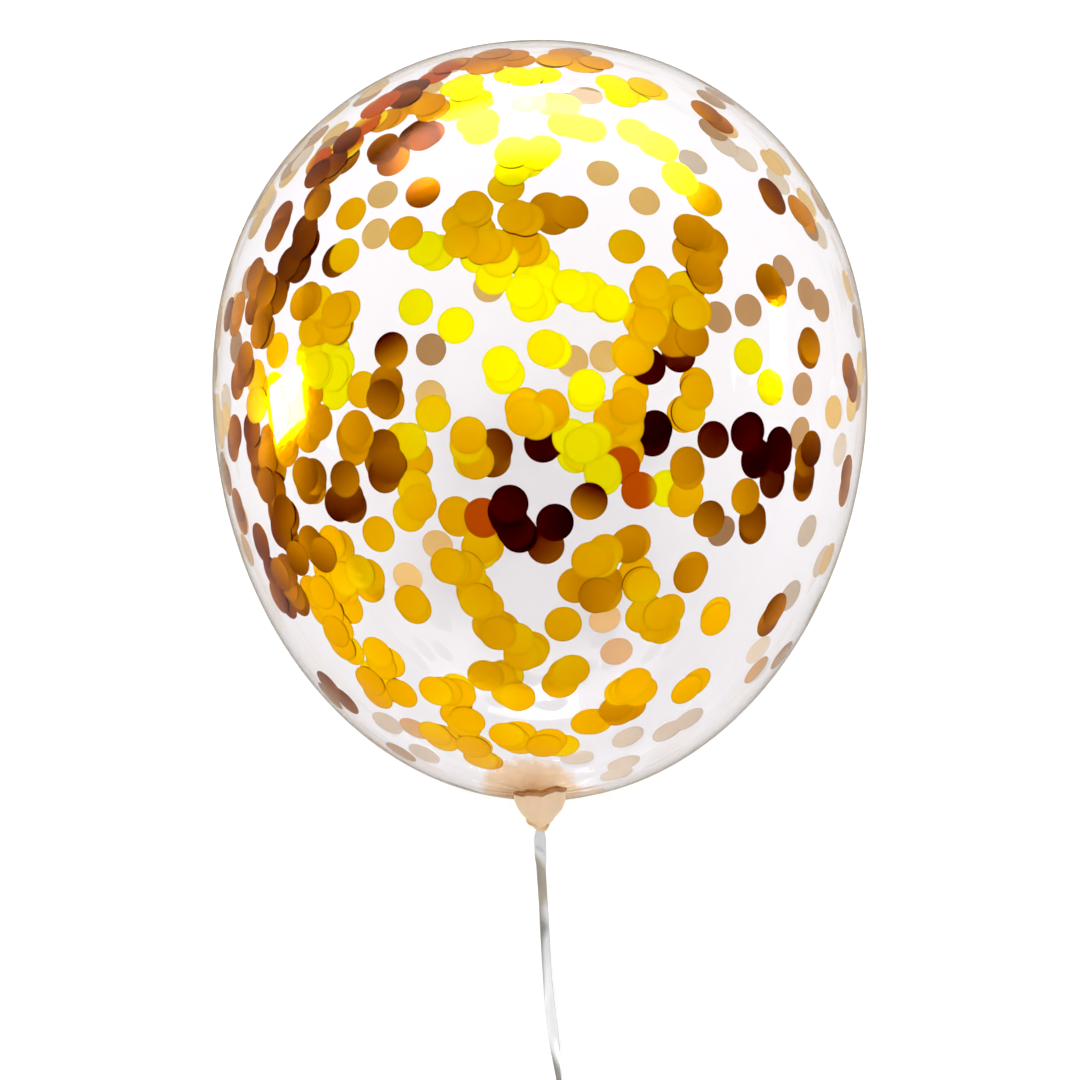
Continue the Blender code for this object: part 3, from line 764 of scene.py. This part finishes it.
def make_knot(material):
    """The neck tied in an overhand knot, pulled tight."""
    outside = (KNOT_HALF_WIDTH, KNOT_HALF_DEPTH, KNOT_HALF_LENGTH)
    halves = [half - KNOT_STRAND for half in outside]
    builder = bmesh.new()
    rows = knot_rows(Vector((0.0, 0.0, -KNOT_DROP)), halves, KNOT_STRAND, KNOT_FOLDS)
    loft(builder, rows, loop=True, thickness_and_shade=[LATEX_KNOT] * len(rows))
    knot = add_piece("balloon_knot", builder, [material])
    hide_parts("balloon")


def rim_place(draw):
    """Height and turn of a place at random just past the outline that the camera sees."""
    angle = draw.uniform(0, math.tau)
    beyond = math.radians(draw.uniform(RIM_START, RIM_END))
    outward = math.cos(beyond)
    x = outward * math.cos(angle)
    forward = outward * math.sin(angle) * TILT_SIN - math.sin(beyond) * TILT_COS
    rise = outward * math.sin(angle) * TILT_COS + math.sin(beyond) * TILT_SIN
    rise = max(RIM_LOWEST, rise)
    return rise * (CROWN_LENGTH if rise > 0 else LOWER_LENGTH), math.atan2(x, forward)


def dimmed(tone, height):
    """The tone with painted shade, darker low down, where more of the room's light falls on the discs."""
    return tone + LOW_PAINTED_SHADE * min(height, 0.0)


def back_tone(shade, height, draw):
    """Tone of the back of a disc of the far side, which faces the room, with painted shade low down."""
    darkest, palest = BACK_TONES[shade]
    return min(max(dimmed(palest, height) + draw.gauss(0.0, BACK_NOISE), darkest), palest)


def string_places(right, up, *rest):
    """Places along a string of discs, which depend on the string's own numbers alone."""
    end_right, end_up, count = rest or (right, up, 1)
    draw = random.Random(f"{right} {up} {end_right} {end_up}")
    spread = STRING_SPREAD if count > 2 else PAIR_SPREAD
    places = []
    for index in range(count):
        share = (index + 0.5) / count
        angle = draw.uniform(0, math.tau)
        reach = spread * math.sqrt(draw.random())
        x = right + (end_right - right) * share + reach * math.cos(angle)
        y = up + (end_up - up) * share + reach * math.sin(angle)
        places.append((x, y))
    return places


def disc_places(draw):
    """Height, turn, tone, lean of tone and back's tone of each disc: on the front, far side and rim."""
    places = []
    seen = []
    for name, *strings in STRINGS:
        tone, lean = TONES[name]
        spots = [spot for string in strings for spot in string_places(*string)]
        seen += spots
        for x, y in spots:
            height, turn = seen_place(x / 1000, y / 1000, far=False)
            noise = max(-NOISE_LIMIT, min(NOISE_LIMIT, draw.gauss(0, 1)))
            shade = tone + TONE_NOISE * noise
            back = draw.uniform(*BACK_TONES[draw.choice(BACK_MIX)])
            places.append((height, turn, shade, lean, back))
    far = [(shade, spot) for shade, spots in FAR_PLACES.items() for spot in spots]
    far += [(draw.choice(BACK_MIX), spot) for spot in draw.sample(seen, HIDDEN_DISCS)]
    beyond = []
    for shade, (x, y) in far:
        beyond.append((shade, *seen_place(x / 1000, y / 1000, far=True)))
    for _ in range(RIM_DISCS):
        height, turn = rim_place(draw)
        if height > RIM_THIN_BELOW or draw.random() < RIM_KEPT:
            beyond.append((draw.choice(BACK_MIX), height, turn))
    for shade, height, turn in beyond:
        tone = dimmed(draw.uniform(*FAR_TONES), height)
        places.append((height, turn, tone, FAR_LEAN, back_tone(shade, height, draw)))
    return places


def layers_of(places, tones):
    """For each place, its layer and whether it has no neighbours.

    A disc lies behind its earlier neighbours of another tone, on the first layer that is free.
    """
    layers = []
    crowded = set()
    for index, place in enumerate(places):
        near = [other for other in range(index) if (places[other] - place).length < 2 * DISC_RADIUS]
        used = {layers[other] for other in near}
        others = [layers[other] for other in near if abs(tones[other] - tones[index]) > OTHER_TONE]
        layer = 1 + max(others, default=-1)
        while layer in used:
            layer += 1
        layers.append(layer)
        crowded.update(near + [index] if near else [])
    return [(layer, index not in crowded) for index, layer in enumerate(layers)]


def onto_wall(point, normal):
    """The point moved along the normal until it is on the body."""
    for _ in range(WALL_STEPS):
        height = point.y - WIDEST_Y
        across = Vector((point.x, 0.0, point.z - AXIS_HEIGHT))
        length, power = (CROWN_LENGTH, CROWN_FULLNESS) if height >= 0 else (LOWER_LENGTH, 2.0)
        reach = across.length / BODY_RADIUS
        rise = abs(height) / length
        excess = reach ** power + rise ** power - 1
        slope = across.normalized() * (power * reach ** (power - 1) / BODY_RADIUS)
        slope.y = math.copysign(power * rise ** (power - 1) / length, height)
        point = point - normal * (excess / slope.dot(normal))
    return point


def disc_grid(place, normal, up, layer, alone, draw):
    """Rings of points of a disc that clings to the inside of the film.

    A disc that is alone may lift a little.
    """
    side = up.cross(normal)
    tilt = abs(draw.gauss(0.0, LOOSE_TILT)) if alone else 0.0
    lifted = draw.uniform(0, math.tau)
    spin = draw.uniform(0, math.tau)
    rings = []
    for ring in DISC_RINGS:
        points = []
        for index in range(DISC_SIDES if ring else 1):
            angle = math.tau * index / DISC_SIDES + spin
            offset = (side * math.cos(angle) + up * math.sin(angle)) * (DISC_RADIUS * ring)
            lift = DISC_RADIUS * math.tan(tilt) * (1 + ring * math.cos(angle - lifted))
            gap = DISC_GAP + DISC_LAYER * layer + lift
            points.append(onto_wall(place + offset, normal) - normal * gap)
        rings.append(points)
    return rings


def foil_disc(builder, rings, normal, tone, lean, back):
    """One thin round disc: its outer side is gold foil, its inner side the dull back.

    Its tone leans across it, because one half mirrors a darker part of the room than the other.
    """
    tone_layer = builder.verts.layers.float["tone"]
    edge_layer = builder.verts.layers.float["edge"]
    sides = []
    for rise, hub_tone, tilt in ((DISC_THICKNESS, tone, lean), (0.0, back, 0.0)):
        made = []
        for share, points in zip(DISC_RINGS, rings):
            verts = []
            for index, point in enumerate(points):
                place = point + normal * rise
                place.z = max(place.z, FLOOR_GAP + FILM + DISC_GAP - rise)
                vert = builder.verts.new(place)
                vert[tone_layer] = hub_tone + tilt * share * math.cos(math.tau * index / DISC_SIDES)
                # The rim carries the painted shade at the edge
                vert[edge_layer] = 1.0 if share == DISC_RINGS[-1] else 0.0
                verts.append(vert)
            made.append(verts)
        sides.append(made)
    for which, (hub, middle, rim) in enumerate(sides):
        for index, after in around(DISC_SIDES):
            wedge = builder.faces.new((hub[0], middle[index], middle[after]))
            outer = builder.faces.new((middle[index], rim[index], rim[after], middle[after]))
            wedge.material_index = which
            outer.material_index = which
    front_rim = sides[0][2]
    back_rim = sides[1][2]
    for index, after in around(DISC_SIDES):
        builder.faces.new((front_rim[index], back_rim[index], back_rim[after], front_rim[after]))


def make_discs(foil, foil_back):
    draw = random.Random(DISC_SEED)
    builder = bmesh.new()
    builder.verts.layers.float.new("tone")
    builder.verts.layers.float.new("edge")
    discs = disc_places(draw)
    walls = [wall(height, turn) for height, turn, *_ in discs]
    layers = layers_of([place for place, _, _ in walls], [disc[2] for disc in discs])
    for (_, _, tone, lean, back), (place, normal, up), (layer, alone) in zip(discs, walls, layers):
        rings = disc_grid(place, normal, up, layer, alone, draw)
        foil_disc(builder, rings, normal, tone, lean, back)
    add_piece("foil_discs", builder, [foil, foil_back])


def new_material(name):
    material = bpy.data.materials.new(name)
    material.use_nodes = True
    return material, material.node_tree, material.node_tree.nodes["Principled BSDF"]


def set_inputs(node, **values):
    """Set a node's inputs, or link them to sockets. Their names are in lower case with underscores."""
    for name, value in values.items():
        put = node.inputs[name.replace("_", " ").title().replace("Ior", "IOR")]
        if isinstance(value, bpy.types.NodeSocket):
            node.id_data.links.new(value, put)
        else:
            put.default_value = value


def add_node(tree, kind, **values):
    """New shader node of the kind, with its inputs set or linked."""
    node = tree.nodes.new("ShaderNode" + kind)
    set_inputs(node, **values)
    return node


def add_ramp(tree, source, stops):
    """Colour ramp driven by a socket, with (position, colour) stops."""
    ramp = add_node(tree, "ValToRGB", fac=source)
    elements = ramp.color_ramp.elements
    elements[0].position, elements[0].color = stops[0][0], (*stops[0][1], 1.0)
    elements[1].position, elements[1].color = stops[-1][0], (*stops[-1][1], 1.0)
    for position, colour in stops[1:-1]:
        elements.new(position).color = (*colour, 1.0)
    return ramp.outputs["Color"]


def add_noise(tree, scale, detail=3.0, stretch=(1.0, 1.0, 1.0)):
    """Noise in the object's own metres, stretched along its axes."""
    coordinates = add_node(tree, "TexCoord")
    mapping = add_node(tree, "Mapping", scale=stretch, vector=coordinates.outputs["Object"])
    pattern = add_node(tree, "TexNoise", scale=scale, detail=detail, vector=mapping.outputs["Vector"])
    return pattern.outputs["Fac"]


def add_range(tree, source, low, high, start=0.0, end=1.0):
    """Number from start to end turned into one from low to high."""
    scale = add_node(tree, "MapRange", value=source, from_min=start, from_max=end, to_min=low, to_max=high)
    return scale.outputs["Result"]


def add_math(tree, operation, *sources):
    """Result of a mathematical operation on one or two sockets."""
    node = add_node(tree, "Math")
    node.operation = operation
    for source, put in zip(sources, node.inputs):
        tree.links.new(source, put)
    return node.outputs["Value"]


def add_mix(tree, share, first, second):
    """Colour between the first and the second, by the share of the second."""
    mix = add_node(tree, "Mix")
    mix.data_type = "RGBA"
    set_inputs(mix, factor=share, a=first, b=second)
    return mix.outputs["Result"]


def add_attribute(tree, name):
    """Number that each vertex of the mesh has under a name."""
    layer = add_node(tree, "Attribute")
    layer.attribute_name = name
    return layer.outputs["Fac"]


def add_bump(tree, shader, source, distance, strength):
    bump = add_node(tree, "Bump", distance=distance, strength=strength, height=source)
    set_inputs(shader, normal=bump.outputs["Normal"])


def add_edge_shade(tree, colour, amount):
    """The colour with painted shade, darker by the amount at the very edge of each disc."""
    edge = add_range(tree, add_attribute(tree, "edge"), 0.0, amount)
    return add_mix(tree, edge, colour, EDGE_SHADE_COLOUR)


def film_material():
    """Clear stretched latex, tan and cloudy in a fan round the neck, where it is thick."""
    material, tree, shader = new_material("clear latex film")
    neck = at(FAN_SHIFT, 0.0, -STEM_DROP)
    scale = Vector((FAN_NARROWNESS, 1.0, 1.0)) / FAN_REACH
    offset = [-place * share for place, share in zip(neck, scale)]
    coordinates = add_node(tree, "TexCoord")
    mapping = add_node(tree, "Mapping", vector=coordinates.outputs["Object"], scale=scale, location=offset)
    away = add_node(tree, "VectorMath")
    away.operation = "LENGTH"
    tree.links.new(mapping.outputs["Vector"], away.inputs[0])
    streaks = add_noise(tree, 300.0, stretch=(1.0, 0.12, 0.3))
    uneven = add_math(tree, "ADD", away.outputs["Value"], add_range(tree, streaks, -0.14, 0.14))
    set_inputs(shader, transmission_weight=1.0, ior=FILM_IOR,
               base_color=add_ramp(tree, uneven, FILM_TINTS),
               roughness=add_ramp(tree, uneven, FILM_HAZE))
    return material


def latex_material():
    """Thick, unstretched latex of the knot and the tail: tan, cloudy and slightly shiny."""
    material, tree, shader = new_material("thick latex")
    blotches = add_range(tree, add_noise(tree, 260.0), -0.25, 0.25)
    # Darker where the latex is thicker, and painted shade at the bead and inside the mouth
    amount = add_math(tree, "ADD", add_attribute(tree, "thickness_and_shade"), blotches)
    set_inputs(shader, base_color=add_ramp(tree, amount, LATEX_COLOURS),
               roughness=add_range(tree, add_noise(tree, 700.0), 0.28, 0.46),
               subsurface_weight=0.6, subsurface_scale=0.003, subsurface_radius=(1.0, 0.6, 0.35))
    add_bump(tree, shader, add_noise(tree, 900.0, stretch=(1.0, 0.3, 0.3)), 0.0002, 0.4)
    return material


def foil_material():
    """Metallised foil in the colour of each disc's tone, which holds painted reflection."""
    material, tree, shader = new_material("gold foil")
    colour = add_ramp(tree, add_attribute(tree, "tone"), FOIL_COLOURS)
    set_inputs(shader, base_color=add_edge_shade(tree, colour, FOIL_EDGE_SHADE), metallic=1.0,
               roughness=add_range(tree, add_noise(tree, 400.0), 0.07, 0.18),
               specular_tint=(0.70, 0.45, 0.15, 1.0))
    add_bump(tree, shader, add_noise(tree, 320.0, detail=1.0), 0.0002, 0.25)
    return material


def foil_back_material():
    """Matt back of the foil in the colour of each disc's back."""
    material, tree, shader = new_material("foil back")
    colour = add_ramp(tree, add_attribute(tree, "tone"), BACK_COLOURS)
    set_inputs(shader, base_color=add_edge_shade(tree, colour, BACK_EDGE_SHADE), metallic=0.05,
               roughness=add_range(tree, add_noise(tree, 400.0), 0.42, 0.60))
    return material


def ribbon_material():
    """Silvery film ribbon with a satin sheen."""
    material, tree, shader = new_material("silver ribbon")
    patches = add_noise(tree, 35.0, stretch=(1.0, 0.25, 0.25))
    streaks = add_noise(tree, 900.0, detail=1.0, stretch=(1.0, 0.03, 0.03))
    set_inputs(shader, base_color=add_ramp(tree, patches, RIBBON_COLOURS), metallic=0.75,
               roughness=add_range(tree, streaks, 0.14, 0.28))
    return material


def room_light(light):
    """Colour of a part of the room: white, or brown where it is dark."""
    tint = BROWN if light < BROWN_UNDER else (1.0, 1.0, 1.0)
    return [light / ROOM_SCALE * part for part in tint]


def make_world():
    """White studio in bands of light and dark, by the angle past straight up towards the crown."""
    world = bpy.data.worlds.new("studio")
    bpy.context.scene.world = world
    world.use_nodes = True
    tree = world.node_tree
    coordinates = add_node(tree, "TexCoord")
    split = add_node(tree, "SeparateXYZ", vector=coordinates.outputs["Generated"])
    angle = add_math(tree, "ARCTAN2", split.outputs["Y"], split.outputs["Z"])
    share = add_range(tree, angle, 0.0, 1.0, start=-math.pi, end=math.pi)
    stops = [((degrees + 180) / 360, room_light(light)) for degrees, light in ROOM_BANDS]
    bands = add_ramp(tree, share, stops)
    inner, outer = SIDE_FADE
    aside = add_math(tree, "ABSOLUTE", split.outputs["X"])
    fade = add_ramp(tree, aside, [(inner, (0.0, 0.0, 0.0)), (outer, (1.0, 1.0, 1.0))])
    lift = add_range(tree, split.outputs["Z"], 0.0, 1.0, *SIDE_RISE)
    sides = add_ramp(tree, lift, [(0.0, room_light(SIDE_BELOW)), (1.0, room_light(SIDE_ABOVE))])
    set_inputs(tree.nodes["Background"], color=add_mix(tree, fade, bands, sides), strength=ROOM_SCALE)


def softbox(name, place, size, radiance, target):
    """Rectangular light of the given radiance that only mirror-like surfaces show."""
    data = bpy.data.lights.new(name, "AREA")
    data.shape = "RECTANGLE"
    data.size, data.size_y = size
    data.energy = radiance * math.pi * size[0] * size[1]
    light = bpy.data.objects.new(name, data)
    light.location = place
    light.rotation_euler = (Vector(target) - Vector(place)).to_track_quat("-Z", "Y").to_euler()
    light.visible_camera = False
    light.visible_diffuse = False
    bpy.context.scene.collection.objects.link(light)


def make_studio():
    make_world()
    aim = at(0.0, 0.0, 0.0)
    for name, place, size, radiance in SOFTBOXES:
        softbox(name, place, size, radiance, aim)
    bpy.ops.mesh.primitive_plane_add(size=FLOOR_SIZE)
    floor = bpy.context.object
    floor.name = "floor"
    material, _, shader = new_material("pale floor")
    set_inputs(shader, base_color=FLOOR_COLOUR, roughness=0.8,
               emission_color=(1.0, 1.0, 1.0, 1.0), emission_strength=FLOOR_GLOW)
    floor.data.materials.append(material)
    floor.visible_glossy = False
    view = bpy.context.scene.view_settings
    view.view_transform = "Standard"
    view.use_curve_mapping = True
    view.curve_mapping.black_level = [BLACK_LEVEL] * 3
    view.curve_mapping.update()


make_camera()
ribbon_look = ribbon_material()
make_ribbon(ribbon_look)
make_tie(ribbon_look)
latex_look = latex_material()
make_skin(film_material())
make_knot(latex_look)
make_tail(latex_look)
make_discs(foil_material(), foil_back_material())
make_studio()
